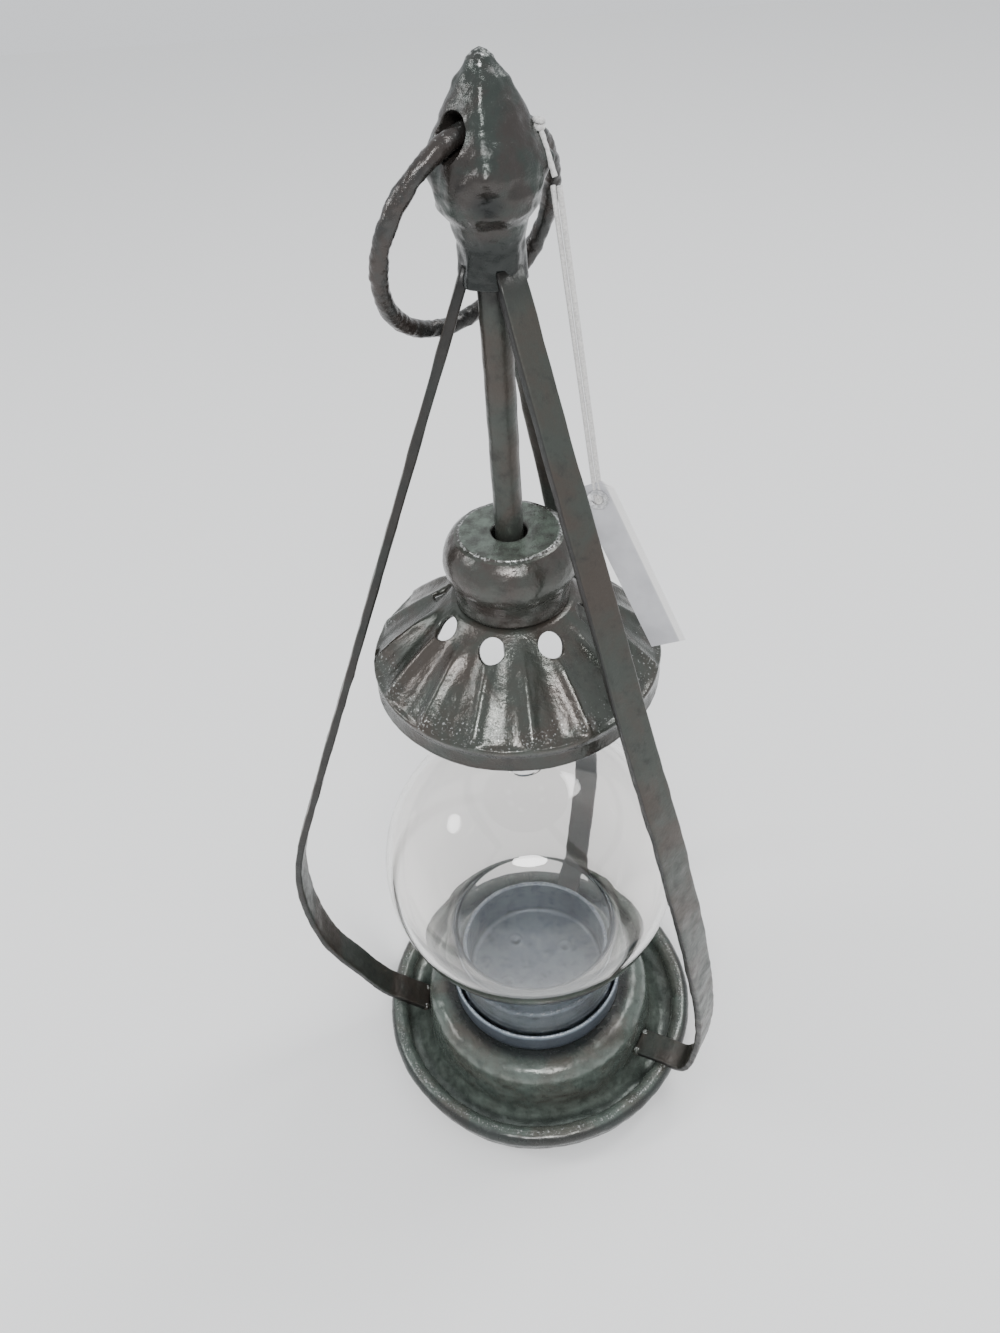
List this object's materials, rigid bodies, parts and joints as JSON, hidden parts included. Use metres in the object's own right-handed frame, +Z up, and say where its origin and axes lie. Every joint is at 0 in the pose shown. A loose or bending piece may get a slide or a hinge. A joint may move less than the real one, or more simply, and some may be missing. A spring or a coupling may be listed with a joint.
{
  "type": "hanging tealight lantern",
  "caption": "Rustic hanging tealight lantern: cast finial with ring, strap arms, sliding fluted hood and a clear glass globe over a dish.",
  "frame": {"origin": "centre of the ring-shaped face that the dish stands on", "axes": "+Z up along the centre rod to the finial's tip; +X to the viewer's right and +Y away from the viewer, so the strap arms leave the finial at 176, -54 and 66 degrees from +X"},
  "size_m": [0.1114, 0.1069, 0.264],
  "materials": {
    "dish_metal": "antiqued dark grey-green sheet, worn bright on the bead",
    "cup_metal": "dull galvanised blue-grey",
    "strap_metal": "antiqued dark strip with brown worn edges",
    "cast_metal": "rough cast, near black with pewter high spots",
    "ring_metal": "antiqued wire",
    "hood_metal": "antiqued brown-grey with speckled bright wear",
    "knob_metal": "sage-grey worn top",
    "globe_glass": "clear blown glass",
    "string": "white twisted thread",
    "tag_card": "matt pale grey card",
    "eyelet_metal": "bright pressed eyelet"
  },
  "bodies": {
    "lantern_frame": {"base_dish": "dish_metal", "gallery": "cup_metal", "candle_cup": "cup_metal", "foot_welds": "dish_metal", "strap_left": "strap_metal", "strap_right": "strap_metal", "strap_back": "strap_metal", "centre_rod": "strap_metal", "stop_washer": "strap_metal", "stop_nut": "strap_metal", "finial": "cast_metal", "string_knot": "string"},
    "ring": {"hanging_ring": "ring_metal"},
    "hood": {"hood_skirt": "hood_metal", "hood_knob": "knob_metal"},
    "globe": {"glass_globe": "globe_glass"},
    "tag": {"tag_string": "string", "swing_tag": "tag_card", "tag_eyelet": "eyelet_metal"}
  },
  "joints": [
    {"name": "ring_swing", "type": "hinge", "parent": "lantern_frame", "child": "ring", "pos_m": [0, 0, 0.2545], "axis": [0.7547, 0.6561, 0], "range_deg": [0, 310]},
    {"name": "hood_slide", "type": "slide", "parent": "lantern_frame", "child": "hood", "axis": [0, 0, 1], "range_m": [-0.023, 0]},
    {"name": "globe_lift", "type": "slide", "parent": "lantern_frame", "child": "globe", "axis": [0, 0, 1], "range_m": [0, 0.016]},
    {"name": "tag_swing", "type": "hinge", "parent": "lantern_frame", "child": "tag", "pos_m": [0.01, -0.0024, 0.2473], "axis": [-0.7071, -0.7071, 0], "range_deg": [0, 60]}
  ]
}
